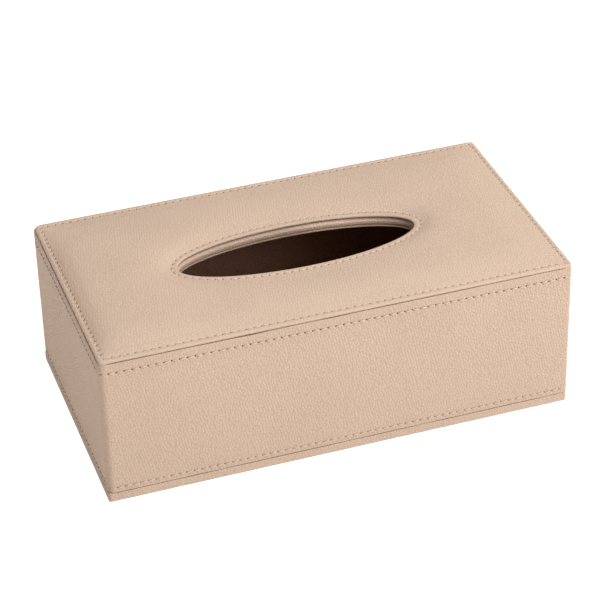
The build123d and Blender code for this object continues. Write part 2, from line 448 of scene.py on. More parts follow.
class Outline:
    """Stations once round a rounded rectangle, with a whole number of stitches from corner to corner."""

    def __init__(self, corner_radii, smallest_radius, row_inset, stitch, marks):
        self.smallest_radius = smallest_radius
        skeleton, angles, radii, travelled = [], [], [], []
        for side in range(4):
            after = (side + 1) % 4
            first = max(corner_radii[side] - row_inset, smallest_radius)
            last = max(corner_radii[after] - row_inset, smallest_radius)
            half_side = half_length if side % 2 == 0 else half_width
            straight = 2 * (half_side - row_inset) - first - last
            first_arc = first * math.pi / 4
            span = first_arc + straight + last * math.pi / 4
            stitches = round(span / stitch)
            facing = math.radians(270 + 90 * side)
            for number in range(stitches):
                for mark in marks:
                    travel = span * (number + mark) / stitches - first_arc
                    share = min(max(travel / straight, 0), 1)
                    turned = min(travel, 0) / first + max(travel - straight, 0) / last
                    skeleton.append([a + (b - a) * share for a, b in zip(corners[side], corners[after])])
                    radii.append(corner_radii[side] * (1 - share) + corner_radii[after] * share)
                    angles.append(facing + turned)
                    travelled.append(side * travel_per_side + number + mark)
        self.skeleton = np.array(skeleton)
        self.radii = np.array(radii)[:, None]
        self.outwards = np.column_stack((np.cos(angles), np.sin(angles)))
        self.count = len(angles)
        self.travel = np.array(travelled)

    def ring(self, inset):
        """Plan points of the outline at an inset, one number or one for each station."""
        inset = np.broadcast_to(inset, self.count)[:, None]
        radius = np.maximum(self.radii - inset, self.smallest_radius)
        centres = np.array((half_length, half_width)) - inset - radius
        return self.skeleton * centres + self.outwards * radius

    def from_corner(self):
        """How far each station is from the nearest corner, along its side."""
        plan = np.abs(self.ring(0))
        return np.minimum(np.hypot(half_length - plan[:, 0], half_width - plan[:, 1]), half_width)

    def off_corners(self):
        """0 within 2 mm of a corner, and 1 from 7 mm on."""
        return clamp((self.from_corner() - 2 * MM) / (5 * MM))

    def facing(self, direction):
        """1 on one end wall, the left one for -1 and the right one for 1, and 0 on the other walls."""
        return clamp(direction * self.outwards[:, 0])

    def at_height(self, inset, height):
        """Points of the outline at an inset and a height."""
        return np.column_stack((self.ring(inset), np.broadcast_to(height, self.count)))


stitch_length = 4.05 * MM
wall_outline = Outline(wall_corners, 0.4 * MM, 0, stitch_length, marks_per_stitch)
rim_outline = Outline(top_corners, 1.4 * MM, rim_row_inset, stitch_length, marks_per_stitch)
base_outline = Outline(base_corners, 0.4 * MM, 0, stitch_length, (0, 0.25, 0.5, 0.75))
lining_outline = Outline(base_corners, 1.2 * MM, 0, stitch_length, (0, 0.5))
print("stations:", wall_outline.count, "on the walls,", rim_outline.count, "on the top")

# %% [markdown]
# ## Meshes from rings
# A skin's mesh is rings of points, one for each line of its section, with quads between them. These helpers
# make the mesh, store attributes on its points, round an edge and give a smooth random drift.

# %% Make meshes and mark their points
def tube_faces(rings, stations, closed=True):
    """Quads between rings of stations. A closed section also joins its last ring to its first."""
    index = np.arange(rings * stations).reshape(rings, stations)
    this = index if closed else index[:-1]
    after = np.roll(index, -1, axis=0) if closed else index[1:]
    quads = np.stack((this, np.roll(this, -1, axis=1), np.roll(after, -1, axis=1), after), axis=-1)
    return quads.reshape(-1, 4)


def new_piece(name, points, faces, material):
    """A smooth mesh object from an array of points and a list of faces."""
    mesh = bpy.data.meshes.new(name)
    mesh.from_pydata(np.asarray(points).reshape(-1, 3).tolist(), [], [list(face) for face in faces])
    mesh.polygons.foreach_set("use_smooth", np.ones(len(mesh.polygons), dtype=bool))
    mesh.materials.append(material)
    mesh.update()
    return new_object(name, mesh)


def points_of(piece):
    """The points of a piece, as an array."""
    return np.array([vertex.co for vertex in piece.data.vertices])


def mark_points(piece, name, values):
    """Stores one number per point, for the piece's material to read."""
    layer = piece.data.attributes.new(name, "FLOAT", "POINT")
    layer.data.foreach_set("value", np.asarray(values, dtype=np.float32).ravel())


def rounded(inset, height, radius, start, stop, steps):
    """A rounded edge as (inset, height) pairs. At 0 degrees it faces outwards, and at 90 upwards."""
    turns = np.radians(np.linspace(start, stop, steps))
    return [(inset - radius * math.cos(turn), height + radius * math.sin(turn)) for turn in turns]


def drifting(points, size, amount, seed):
    """A smooth random number for each point, which changes over about `size`."""
    offset = Vector((seed * 17.3, seed * 5.1, seed * 9.7))
    return np.array([amount * noise.noise(Vector(point) / size + offset) for point in points])


print("mesh helpers ready")

# %% [markdown]
# ## Where the needle went in
# A stitch row is kept as a bare mesh: one vertex for each needle hole, one edge for each stitch, and an
# "up" attribute that points out of the skin. Geometry Nodes read these rows twice: once to press the skins
# down along them, and once to lay a thread on every edge. On the right end the rim's row runs closer to the
# edge, and its thread is sunk into the skin. Two short rows have only the holes of the left end, which are
# wider, so their dots of painted shade are larger. At the back the lower row also goes through the hinge
# strip, which lies on the skin.

# %% Draw the stitch rows
def stitch_row(name, plan, height, outwards):
    """A closed row of needle holes, with the direction out of the skin at each."""
    count = len(plan)
    mesh = bpy.data.meshes.new(name)
    points = np.column_stack((plan, np.broadcast_to(height, count)))
    mesh.from_pydata(points.tolist(), [(i, (i + 1) % count) for i in range(count)], [])
    layer = mesh.attributes.new("up", "FLOAT_VECTOR", "POINT")
    directions = np.broadcast_to(np.asarray(outwards, dtype=np.float32), (count, 3))
    layer.data.foreach_set("vector", directions.ravel())
    return new_object(name, mesh)


def ellipse(angles, offset):
    """Plan points of the opening, grown by an offset."""
    return np.column_stack((
        (opening_half_length + offset) * np.cos(angles),
        (opening_half_width + offset) * np.sin(angles),
    ))


def oval_angles(plan):
    """The angles at which points round the box meet the opening on their way in."""
    return np.arctan2(plan[:, 1] / half_width, plan[:, 0] / half_length)


def even_angles(count, offset):
    """Angles that divide the grown opening's edge into equal lengths."""
    fine = np.linspace(0, 2 * math.pi, 4001)
    lengths = np.hypot(*np.diff(ellipse(fine, offset), axis=0).T)
    travel = np.concatenate(([0], np.cumsum(lengths)))
    return np.interp(np.arange(count) / count * travel[-1], travel, fine)


lip_stitches = 77
upwards = (0, 0, 1)
strip_proud = 0.2 * MM
nearly = 0.1 * MM
every = slice(None, None, len(marks_per_stitch))
rim_right = rim_outline.facing(1)
sewn_inset = rim_row_inset - 1.2 * MM * rim_right
sewn_depth = 0.2 * MM * rim_right[every]
wall_holes = wall_outline.ring(0)[every]
wall_outwards = np.column_stack((wall_outline.outwards, np.zeros(wall_outline.count)))[every]
rim_holes = rim_outline.ring(sewn_inset)[every]
lip_holes = ellipse(even_angles(lip_stitches, lip_row_offset), lip_row_offset)
lower_holes = wall_holes.copy()
on_strip = (wall_holes[:, 1] > half_width - nearly) & (np.abs(wall_holes[:, 0]) < strip_high.x - MM)
lower_holes[on_strip, 1] += strip_proud
left_of_wall = wall_holes[:, 0] < nearly - half_length
left_of_rim = rim_holes[:, 0] < rim_holes[:, 0].min() + nearly

upper_row = stitch_row("upper_wall_row", wall_holes, upper_row_height, wall_outwards)
lower_row = stitch_row("lower_wall_row", lower_holes, lower_row_height, wall_outwards)
rim_row = stitch_row("rim_row", rim_holes, rim_top, upwards)
sunk_row = stitch_row("sunk_rim_row", rim_holes, rim_top - sewn_depth, upwards)
lip_row = stitch_row("lip_row", lip_holes, rim_top, upwards)
left_rim_row = stitch_row("left_rim_row", rim_holes[left_of_rim], rim_top, upwards)
left_wall_row = stitch_row(
    "left_wall_row", wall_holes[left_of_wall], upper_row_height, wall_outwards[left_of_wall]
)
stitch_rows = (upper_row, lower_row, rim_row, sunk_row, lip_row, left_rim_row, left_wall_row)
print("needle holes:", [len(row.data.vertices) for row in stitch_rows])

# %% [markdown]
# ## Geometry Nodes that are baked
# A tree has named inputs, and ends in plain geometry with its material. A modifier's inputs are set by
# their identifiers. What it makes is then baked into the piece's own mesh, so no modifier is left on it.

# %% Start, end and bake a tree
def new_tree(name, inputs):
    """A Geometry Nodes tree with named inputs, and its input and output nodes."""
    tree = bpy.data.node_groups.new(name, "GeometryNodeTree")
    tree.interface.new_socket("Geometry", in_out="INPUT", socket_type="NodeSocketGeometry")
    for label, kind in inputs.items():
        tree.interface.new_socket(label, in_out="INPUT", socket_type="NodeSocket" + kind)
    tree.interface.new_socket("Geometry", in_out="OUTPUT", socket_type="NodeSocketGeometry")
    return tree, tree.nodes.new("NodeGroupInput").outputs, tree.nodes.new("NodeGroupOutput").inputs


def finish_tree(tree, geometry, material, result):
    """Ends a tree in plain, smooth, finished geometry."""
    smooth = add(tree, "GeometryNodeSetShadeSmooth", {"Geometry": geometry}).outputs[0]
    plain = add(tree, "GeometryNodeRealizeInstances", {"Geometry": smooth}).outputs[0]
    done = add(tree, "GeometryNodeSetMaterial", {"Geometry": plain, "Material": material}).outputs[0]
    tree.links.new(done, result["Geometry"])


def combine(tree, **axes):
    """A vector from its axes."""
    return add(tree, "ShaderNodeCombineXYZ", axes).outputs[0]


def store(tree, geometry, name, value):
    """The geometry with a named number stored on each of its points."""
    inputs = {"Geometry": geometry, "Name": name, "Value": value}
    options = {"data_type": "FLOAT", "domain": "POINT"}
    return add(tree, "GeometryNodeStoreNamedAttribute", inputs, **options).outputs[0]


def give(modifier, **values):
    """Sets a modifier's inputs. A socket is found by its name and set by its identifier."""
    for item in modifier.node_group.interface.items_tree:
        key = item.name.lower().replace(" ", "_")
        if item.item_type == "SOCKET" and item.in_out == "INPUT" and key in values:
            modifier[item.identifier] = values[key]


def bake(piece):
    """Turns what a piece's modifiers make into its own plain mesh."""
    evaluated = piece.evaluated_get(bpy.context.evaluated_depsgraph_get())
    mesh = bpy.data.meshes.new_from_object(evaluated)
    piece.modifiers.clear()
    piece.data = mesh
    mesh.name = piece.name
    return piece


print("tree helpers ready")

# %% [markdown]
# ## A tree that presses a skin along a stitch row
# Tight thread pulls the skin into a shallow valley, and each needle leaves a small hole. The material
# paints the hole and the valley darker, as painted shade. Two Geometry Proximity nodes measure how far each
# point of the skin is from the nearest hole and from the row. The tree turns those distances into dents
# along the skin's normal, and stores them for the material before anything moves.

# %% Build the pressing tree
def pressing_tree():
    holes = ("Hole radius", "Hole depth")
    seams = ("Valley half width", "Valley depth", "Pucker radius", "Pucker depth")
    inputs = {"Row": "Object", **dict.fromkeys(holes + seams, "Float"), "Material": "Material"}
    tree, given, result = new_tree("press_along_stitches", inputs)
    row = add(tree, "GeometryNodeObjectInfo", {"Object": given["Row"]}).outputs["Geometry"]
    to_hole, to_row = (
        add(tree, "GeometryNodeProximity", {"Geometry": row}, target_element=element).outputs["Distance"]
        for element in ("POINTS", "EDGES")
    )
    dents = {
        "needle_hole": ramp(tree, to_hole, 0.0, given["Hole radius"], 1.0, 0.0),
        "seam_valley": ramp(tree, to_row, 0.0, given["Valley half width"], 1.0, 0.0),
    }
    pucker = ramp(tree, to_hole, 0.0, given["Pucker radius"], 1.0, 0.0)
    depth = times(tree, dents["needle_hole"], given["Hole depth"])
    depth = plus(tree, depth, dents["seam_valley"], given["Valley depth"])
    depth = plus(tree, depth, pucker, given["Pucker depth"])

    geometry = given["Geometry"]
    for name, dent in dents.items():
        before = add(tree, "GeometryNodeInputNamedAttribute", {"Name": name}, data_type="FLOAT").outputs[0]
        geometry = store(tree, geometry, name, calculate(tree, "MAXIMUM", before, dent))
    normal = add(tree, "GeometryNodeInputNormal").outputs[0]
    offset = vectors(tree, "SCALE", {0: normal, "Scale": times(tree, depth, -1.0)})
    moved = add(tree, "GeometryNodeSetPosition", {"Geometry": geometry, "Offset": offset}).outputs[0]
    finish_tree(tree, moved, given["Material"], result)
    return tree


press_tree = pressing_tree()
print("tree", press_tree.name, "with", len(press_tree.nodes), "nodes")

# %% [markdown]
# Thread fills its holes more or less, so the rows differ in how wide and deep their holes are, and in how
# far the seam pulls the skin down. A wider hole also gets a wider dot of painted shade.

# %% Choose the needle holes
open_holes = {
    "hole_radius": 0.58 * MM,
    "hole_depth": 0.8 * MM,
    "valley_half_width": 1.0 * MM,
    "valley_depth": 0.1 * MM,
    "pucker_radius": 1.9 * MM,
    "pucker_depth": 0.06 * MM,
}
small_holes = {
    **open_holes,
    "hole_radius": 0.46 * MM,
    "hole_depth": 0.55 * MM,
    "valley_half_width": 0.7 * MM,
    "valley_depth": 0.05 * MM,
    "pucker_depth": 0.03 * MM,
}
tight_holes = {**small_holes, "hole_radius": 0.56 * MM, "hole_depth": 0.7 * MM}
filled_holes = {**open_holes, "hole_radius": 0.42 * MM, "hole_depth": 0.5 * MM}
wide_holes = {**tight_holes, "hole_radius": 0.8 * MM, "hole_depth": 0.8 * MM}


def press(piece, *rows_and_holes):
    """Presses a skin down along stitch rows, each with its own kind of needle hole."""
    for row, holes in rows_and_holes:
        modifier = piece.modifiers.new("press_" + row.name, "NODES")
        modifier.node_group = press_tree
        give(modifier, row=row, material=piece.data.materials[0], **holes)
    return bake(piece)


kinds_of_hole = (open_holes, small_holes, tight_holes, filled_holes, wide_holes)
print("hole radii, mm:", [round(holes["hole_radius"] / MM, 2) for holes in kinds_of_hole])

# %% [markdown]
# ## The wall skin
# One strip of leatherette goes round all four walls, glued to the boards and turned in at the top and
# bottom. It could be four flat planes, but the real edges are folded, so the skin is swept as a closed
# section with rolled edges. The rolls swell and shrink a little from place to place, which is what makes
# the seam above it look sewn rather than milled. The lines of the section crowd round the two stitch rows.

# %% Sweep the wall skin
row_lines = np.array((-1.4, -0.8, -0.45, -0.2, 0, 0.2, 0.45, 0.8, 1.4)) * MM
ripple = 0.06 * MM


def wall_section(edge_roll, top):
    """(inset, height) pairs of the wall skin, up the outside and down the inside."""
    foot_roll = 0.35 * MM
    middle = np.linspace(lower_row_height + 3.5 * MM, upper_row_height - 3.5 * MM, 11)
    above = np.linspace(upper_row_height + 2.2 * MM, wall_top - 2 * MM, 3)
    foot = lower_seam + 0.05 * MM
    section = [(turn_in - skin, wall_bottom), (2 * MM, wall_bottom), (1.2 * MM, foot)]
    section += rounded(foot_roll, foot + foot_roll, foot_roll, -90, 0, 6)
    section += [(0, lower_row_height + line) for line in row_lines]
    section += [(0, height) for height in middle]
    section += [(0, upper_row_height + line) for line in row_lines]
    section += [(0, height) for height in above]
    section += rounded(edge_roll, top - edge_roll, edge_roll, 0, 90, 7)
    section += [(2.4 * MM, top), (2.6 * MM, wall_top), (turn_in, wall_top), (turn_in, wall_top - skin)]
    section += [(skin, wall_top - 2 * skin), (skin, wall_top - 25 * MM), (skin, wall_bottom + skin)]
    section += [(turn_in - skin, wall_bottom + skin)]
    return section


def swept_skin(name, outline, section, material):
    """A closed tube swept round the box from a section of (inset, height) pairs."""
    rings = [outline.at_height(inset, height) for inset, height in section]
    return new_piece(name, np.array(rings), tube_faces(len(rings), outline.count), material)


def painted_rim_seam_shade(points, outline):
    """Painted shade in the seam under the rim: it wavers, ends at the corners and is faint on the left end.
    """
    wavering = clamp(0.43 + drifting(points, 25 * MM, 0.6, 6))
    return outline.off_corners() * wavering * (1 - 0.85 * outline.facing(-1))


def painted_foot_seam_shade(points):
    """Painted shade in the seam over the base plate: it wavers."""
    return clamp(0.85 + drifting(points, 18 * MM, 0.9, 7))


off_corner = wall_outline.off_corners()
around = wall_outline.at_height(0, 0)
wall_roll = 0.45 * MM * (1 + drifting(around, 9 * MM, 0.3, 1))
groove_gap = 0.22 * MM * off_corner * (1 + drifting(around, 14 * MM, 1.2, 5))
wall_skin = swept_skin("wall_skin", wall_outline, wall_section(wall_roll, upper_seam - groove_gap), leather)

wall_points = points_of(wall_skin)
glue = drifting(wall_points, 30 * MM, ripple, 2) + drifting(wall_points, 11 * MM, ripple / 2, 3)
normals = np.array([vertex.normal for vertex in wall_skin.data.vertices])
outer = np.hypot(normals[:, 0], normals[:, 1])[:, None] * normals
wall_points -= outer * np.abs(glue)[:, None]
wall_skin.data.vertices.foreach_set("co", wall_points.ravel())
ring_count = len(wall_points) // wall_outline.count
print("wall skin:", ring_count, "rings of", wall_outline.count, "points")

# %% [markdown]
# The wall skin's attributes follow its seams. It is pressed smooth at its folded edges and painted dark as
# shade where it meets the rim and the base plate. The left end gets painted shade at its foot and above its
# stitches, and the strip above the upper row is gathered into puckers. The grain turns with the end walls.

# %% Mark the wall skin
wall_heights = wall_points[:, 2]
top_gap = np.tile(upper_seam - groove_gap, ring_count) - wall_heights
bottom_gap = wall_heights - lower_seam
strip_rise = (wall_heights - upper_row_height) / MM
# Painted shade at the seams under the rim and over the base plate.
dark_top = np.tile(painted_rim_seam_shade(around, wall_outline), ring_count)
dark_foot = np.tile(off_corner * painted_foot_seam_shade(around), ring_count)
groove = dark_top * clamp(1 - top_gap / (0.35 * MM))
groove += dark_foot * clamp(1 - bottom_gap / (0.3 * MM))
left_end = np.tile(wall_outline.facing(-1), ring_count)
# Painted shade on the left end: darker towards its foot, and on the strip above its upper stitches.
painted_foot_shade = 0.16 * left_end * clamp((14 * MM - wall_heights) / (6 * MM))
painted_strip_shade = 0.12 * left_end * clamp(strip_rise)
fullness = np.tile(clamp(0.7 + drifting(around, 20 * MM, 1.5, 8)), ring_count)
gathered = clamp(strip_rise - 0.6) * clamp(top_gap / (0.6 * MM)) * (0.3 * fullness)
edge_gap = np.minimum(top_gap, bottom_gap)

mark_points(wall_skin, "pressed_edge", clamp(1 - edge_gap / (1.2 * MM)))
mark_points(wall_skin, "groove", np.maximum(groove, painted_foot_shade + painted_strip_shade))
mark_points(wall_skin, "end_wall", np.tile(np.abs(wall_outline.outwards[:, 0]) > 0.7, ring_count))
mark_points(wall_skin, "gathered", gathered)
mark_points(wall_skin, "along_seam", np.tile(wall_outline.travel * 3, ring_count))
press(wall_skin, (upper_row, open_holes), (left_wall_row, wide_holes), (lower_row, filled_holes))
print("wall skin:", len(wall_skin.data.polygons), "faces")

# %% [markdown]
# ## How the padded top swells
# The top's skin is sewn down along the rim and round the opening, and foam lifts it in between. The foam's
# free shape is a flat crown with short shoulders. Blender's cloth then pulls the skin tight over it: both
# stitch rows are pinned, the foam acts as soft pins, and the skin shrinks by a few percent. It settles
# lower where it is held on several sides, as in the corners and at the tips of the oval. A ray straight
# down from each point finds the foam's solid, so the skin never sinks into it.

# %% Shape the foam's free crown
crown_rise = 1.6 * (crown_top - rim_top)
left_shoulder = 4.5 * MM
right_shoulder = 11 * MM
front_shoulder = 10.5 * MM
rear_shoulder = 5 * MM
rear_slope = 42 * MM
left_tip_shoulder = 7.5 * MM
right_tip_shoulder = 6 * MM
front_lip_shoulder = 17 * MM
rear_lip_shoulder = 12 * MM
right_sag = 0.32
clearance = 0.2 * MM
coarse_rings = 25
coarse = Outline(top_corners, 1.4 * MM, rim_row_inset, stitch_length, (0,))


def spread(share):
    """Rings that crowd towards both stitch rows."""
    return 0.5 - 0.5 * np.cos(math.pi * share)


def between_rows(outline, share):
    """Plan points between the opening's stitch row, share 0, and the rim's, share 1."""
    rim = outline.ring(rim_row_inset)
    lip = ellipse(oval_angles(rim), lip_row_offset)
    share = np.broadcast_to(share, outline.count)[:, None]
    return lip * (1 - share) + rim * share


def swell(distance, shoulder, power=1.4):
    """How far the foam has risen at a distance from a stitch row, from 0 to 1."""
    return 1 - np.exp(-((np.maximum(distance, 0) / shoulder) ** power))


def free_crown(plan, lip):
    """The foam's free height above the rim, from the distances to the ends, the sides and the opening."""
    x, y = plan.T
    to_end = half_length - rim_row_inset - np.abs(x)
    to_side = half_width - rim_row_inset - np.abs(y)
    to_lip = np.hypot(*(plan - lip).T)
    ends = np.where(x > 0, swell(to_end, right_shoulder), swell(to_end, left_shoulder))
    slope = np.sin(clamp(to_side / rear_slope) * math.pi / 2)
    rear = 0.08 * swell(to_side, rear_shoulder) + 0.92 * slope
    sides = np.where(y > 0, rear, swell(to_side, front_shoulder))
    at_tip = (lip[:, 0] / (opening_half_length + lip_row_offset)) ** 2
    tips = np.where(x > 0, swell(to_lip, right_tip_shoulder, 1.1), swell(to_lip, left_tip_shoulder))
    lips = np.where(y > 0, swell(to_lip, rear_lip_shoulder), swell(to_lip, front_lip_shoulder))
    sag = right_sag * spread(clamp((x + 95 * MM) / (75 * MM)))
    return crown_rise * (1 - sag) * ends * sides * (tips * at_tip + lips * (1 - at_tip))


def foam_below(plan):
    """How far the foam's solid rises above the rim, seen from straight above."""
    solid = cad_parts["top_foam"]
    heights = []
    for x, y in plan.reshape(-1, 2):
        found, place, _, _ = solid.ray_cast((x, y, 1), (0, 0, -1))
        heights.append(place.z - rim_top if found else -1)
    return np.array(heights).reshape(plan.shape[:-1])


shares = spread(np.linspace(0, 1, coarse_rings))
coarse_plan = np.array([between_rows(coarse, share) for share in shares])
free_height = np.array([free_crown(plan, coarse_plan[0]) for plan in coarse_plan])
foam_height = foam_below(coarse_plan) + clearance
print("free crown:", round(free_height.max() / MM, 2), "mm high")

# %% [markdown]
# The cloth runs on these coarse rings, which is enough for such a slow swell.

# %% Let the skin settle over the foam
def settle(plan, height):
    """Pulls a skin tight over the foam with Blender's cloth, and returns its heights."""
    points = np.concatenate((plan, height[..., None]), axis=-1)
    pad = new_piece("settling_skin", points, tube_faces(coarse_rings, coarse.count, closed=False), leather)
    group = pad.vertex_groups.new(name="held")
    rows = np.arange(coarse_rings * coarse.count).reshape(coarse_rings, -1)
    group.add(rows[[0, -1]].ravel().tolist(), 1.0, "REPLACE")
    group.add(rows[1:-1].ravel().tolist(), 0.8, "REPLACE")
    cloth = pad.modifiers.new("cloth", "CLOTH")
    cloth.settings.vertex_group_mass = group.name
    cloth.settings.quality = 6
    cloth.settings.mass = 0.1
    cloth.settings.tension_stiffness = 20
    cloth.settings.compression_stiffness = 20
    cloth.settings.shear_stiffness = 8
    cloth.settings.bending_stiffness = 0.2
    cloth.settings.shrink_min = 0.012
    cloth.settings.effector_weights.gravity = 0
    cloth.collision_settings.use_collision = False
    scene = bpy.context.scene
    for step in range(1, 21):
        scene.frame_set(step)
    settled = pad.evaluated_get(bpy.context.evaluated_depsgraph_get()).to_mesh()
    result = np.array([vertex.co.z for vertex in settled.vertices]).reshape(height.shape)
    scene.frame_set(1)
    bpy.data.objects.remove(pad)
    return result


crown = settle(coarse_plan, free_height)
print("crown: free rise", round(free_height.max() / MM, 2), "settled", round(crown.max() / MM, 2), "mm")
print("points lifted off the foam:", int((crown < foam_height).sum()), "of", crown.size)
crown = np.clip(np.maximum(crown, foam_height), 0, crown_rise)

# %% [markdown]
# ## The padded top skin
# The skin itself is one closed sweep: under the rim, round its folded edge, over the crown, round the
# folded lip of the opening and back underneath. The rings change from a rounded rectangle to an ellipse on
# the way in. Their heights come from the settled crown, by a smooth cubic between its coarse points.

# %% Read the settled crown
def cubic(before, start, end, after, share):
    """A smooth curve through start and end that heads the way its neighbours lie."""
    pull = (end - before) / 2
    push = (after - start) / 2
    square, cube = share ** 2, share ** 3
    return (
        (2 * cube - 3 * square + 1) * start
        + (cube - 2 * square + share) * pull
        + (3 * square - 2 * cube) * end
        + (cube - square) * push
    )


def crown_at(share):
    """The crown's height at each of the top's stations, for shares between the two rows."""
    share = clamp(np.broadcast_to(share, rim_outline.count))
    ring = np.arccos(1 - 2 * share) / math.pi * (coarse_rings - 1)
    low = np.clip(np.floor(ring).astype(int), 0, coarse_rings - 2)
    station = np.arange(rim_outline.count)
    hole = station // len(marks_per_stitch)
    mark = np.array(marks_per_stitch)[station % len(marks_per_stitch)]

    def across(ring_number):
        ring_number = np.clip(ring_number, 0, coarse_rings - 1)
        near = [crown[ring_number, (hole + step) % coarse.count] for step in (-1, 0, 1, 2)]
        return cubic(*near, mark)

    return np.maximum(cubic(across(low - 1), across(low), across(low + 1), across(low + 2), ring - low), 0)


print("crown between the rows, mm:", round(crown_at(0.5).max() / MM, 2))

# %% [markdown]
# Both edges of the skin are folded. A folded edge curls under at its foot, stands out furthest a little
# higher, rises to a crest and falls again to its stitch row. On the left end the rim's fold is fuller and
# set in a little. On the right end it is narrow and stands out, because the stitch row runs closer to the
# edge there.

# %% Fold the edges
def rolled_edge(low, under, widest, crest, bulge):
    """(distance from the edge, height) pairs of a folded edge, from underneath to its crest.

    The edge starts `low`, stands out furthest at the height `widest`, after curving out by `under`, and
    rises to `bulge` above the rim at a distance of `crest` from the edge.
    """
    low_turns = np.radians(np.linspace(-85, 0, 5))
    high_turns = np.radians(np.linspace(0, 90, 8)[1:])
    drop = widest - low
    rise = rim_top + bulge - widest
    lower = [(under * (1 - math.cos(turn)), widest + drop * math.sin(turn)) for turn in low_turns]
    upper = [(crest * (1 - math.cos(turn)), widest + rise * math.sin(turn)) for turn in high_turns]
    return lower + upper


def fall(gap, bulge):
    """The height of a folded edge at a gap from its stitch row. It falls over the last 0.8 mm."""
    share = clamp(1 + gap / (0.8 * MM))
    return rim_top + bulge * (0.5 + 0.5 * math.cos(math.pi * share))


rim_left = rim_outline.facing(-1)
rim_bulge = (0.28 + 0.08 * rim_left - 0.24 * rim_right) * MM
rim_crest = (2.0 + 0.1 * rim_left - 1.1 * rim_right) * MM
rim_widest = upper_seam + 0.8 * MM
rim_curl = 0.55 * MM * rim_outline.off_corners() * (1 - 0.6 * rim_left)
rim_shift = (0.62 * rim_left - 0.35 * rim_right) * MM
lip_bulge = 0.12 * MM
lip_crest = 1.0 * MM
lip_widest = rim_top - 0.75 * MM

rim_plan = rim_outline.ring(rim_row_inset)
rim_angles = oval_angles(rim_plan)
lip_lean = -0.6 * MM * clamp((np.cos(rim_angles) - 0.3) / 0.5)
lip_line = ellipse(rim_angles, lip_row_offset)
row_gap = np.hypot(*(rim_plan - lip_line).T)
beside_row = np.array((0.2, 0.45, 0.8)) * MM
crown_shares = (0.03, 0.05, 0.075, 0.105, 0.14, 0.18, 0.225, 0.28, 0.34, 0.41)
crown_shares += (0.5,) + tuple(1 - share for share in reversed(crown_shares))

print("rows are", (row_gap.min() / MM).round(1), "to", (row_gap.max() / MM).round(1), "mm apart")

# %% [markdown]
# The rings go once round the section, from under the rim to under the lip and back. Each also notes how far
# its skin is pressed smooth.

# %% Sweep the top skin
top_rings = []
top_pressed = []


def top_ring(plan, height, pressed=0.0):
    top_rings.append(np.column_stack((plan, np.broadcast_to(height, rim_outline.count))))
    top_pressed.append(np.broadcast_to(pressed, rim_outline.count))


top_ring(rim_outline.ring(rim_row_inset + skin), rim_under, 1)
for inset, height in rolled_edge(upper_seam, rim_curl, rim_widest, rim_crest, rim_bulge):
    shifted = inset + rim_shift * (1 - inset / rim_row_inset)
    top_ring(rim_outline.ring(shifted), height, 1)
for gap in -beside_row[::-1]:
    top_ring(rim_outline.ring(sewn_inset + gap), fall(gap, rim_bulge), 0.7)
top_ring(rim_outline.ring(sewn_inset), rim_top, 0.5)
for gap in beside_row:
    top_ring(rim_outline.ring(sewn_inset + gap), rim_top + crown_at(1 - gap / row_gap), 0.2)
for share in reversed(crown_shares):
    top_ring(between_rows(rim_outline, share), rim_top + crown_at(share))
for gap in beside_row[::-1]:
    top_ring(ellipse(rim_angles, lip_row_offset + gap), rim_top + crown_at(gap / row_gap), 0.2)
top_ring(lip_line, rim_top, 0.5)
for gap in -beside_row:
    top_ring(ellipse(rim_angles, lip_row_offset + gap), fall(gap, lip_bulge), 0.7)
for offset, height in reversed(rolled_edge(rim_under, 1.1 * MM, lip_widest, lip_crest, lip_bulge)):
    leaning = offset + lip_lean * (1 - offset / lip_crest)
    top_ring(ellipse(rim_angles, leaning), height, 1)
top_ring(ellipse(rim_angles, lip_row_offset + skin), rim_under, 1)
for share in (0.12, 0.3, 0.5, 0.7, 0.88):
    top_ring(between_rows(rim_outline, share), np.maximum(rim_top + crown_at(share) - skin, rim_under))

top_points = np.array(top_rings)
top_faces = tube_faces(len(top_rings), rim_outline.count)
top_skin = new_piece("padded_top", top_points, top_faces, stretched_leather)
print("top skin:", len(top_skin.data.polygons), "faces")

# %% [markdown]
# The skin's attributes say where it is pressed smooth, where it is painted dark as shade at a seam, and
# where it is gathered. The rim's fold meets the walls in a wavy seam of painted shade, the lip curls under
# towards the binding with painted shade beneath it, and round the right tip of the oval the skin has more
# fullness than the seam can take, so fine wrinkles run out from there.

# %% Mark the top skin
heights = top_points[..., 2]
plans = top_points[..., :2]
to_edge = np.minimum(half_length - np.abs(plans[..., 0]), half_width - np.abs(plans[..., 1]))
# Painted shade under the rim's fold, wavering as it does on the walls.
rim_dark = painted_rim_seam_shade(top_points[0], rim_outline)
under_rim = clamp(1 - (heights - upper_seam) / (0.35 * MM)) * (to_edge < lip_row_offset)
under_lip = clamp(1 - (heights - rim_under) / (0.9 * MM)) * (to_edge > 10 * MM)

lip_steps = np.hypot(*(lip_line - np.roll(lip_line, 1, axis=0)).T)
lip_travel = np.cumsum(lip_steps) - lip_steps[0]
wrinkle_spacing = 1.3 * MM
from_lip = np.hypot(*np.moveaxis(plans - lip_line, -1, 0))
right_tip = clamp((np.cos(rim_angles) - 0.8) / 0.15)
wrinkle_start = clamp(from_lip / MM - 0.8)
wrinkle_end = clamp((13 * MM - from_lip) / (9 * MM))
wrinkled = wrinkle_start * wrinkle_end * right_tip * (heights > rim_top + 0.05 * MM)
# Painted shade under the lip: darker on the left of the opening than on the right.
lip_dark = 0.75 - 0.4 * clamp(lip_line[:, 0] / (30 * MM))

mark_points(top_skin, "pressed_edge", np.array(top_pressed))
mark_points(top_skin, "groove", np.maximum(rim_dark * under_rim, lip_dark * under_lip))
mark_points(top_skin, "gathered", 2.0 * wrinkled)
mark_points(top_skin, "along_seam", np.broadcast_to(lip_travel / wrinkle_spacing, heights.shape))
rim_presses = ((rim_row, small_holes), (rim_row, tight_holes), (left_rim_row, wide_holes))
press(top_skin, *rim_presses, (lip_row, tight_holes))
print("wrinkled points:", int((wrinkled > 0.1).sum()))
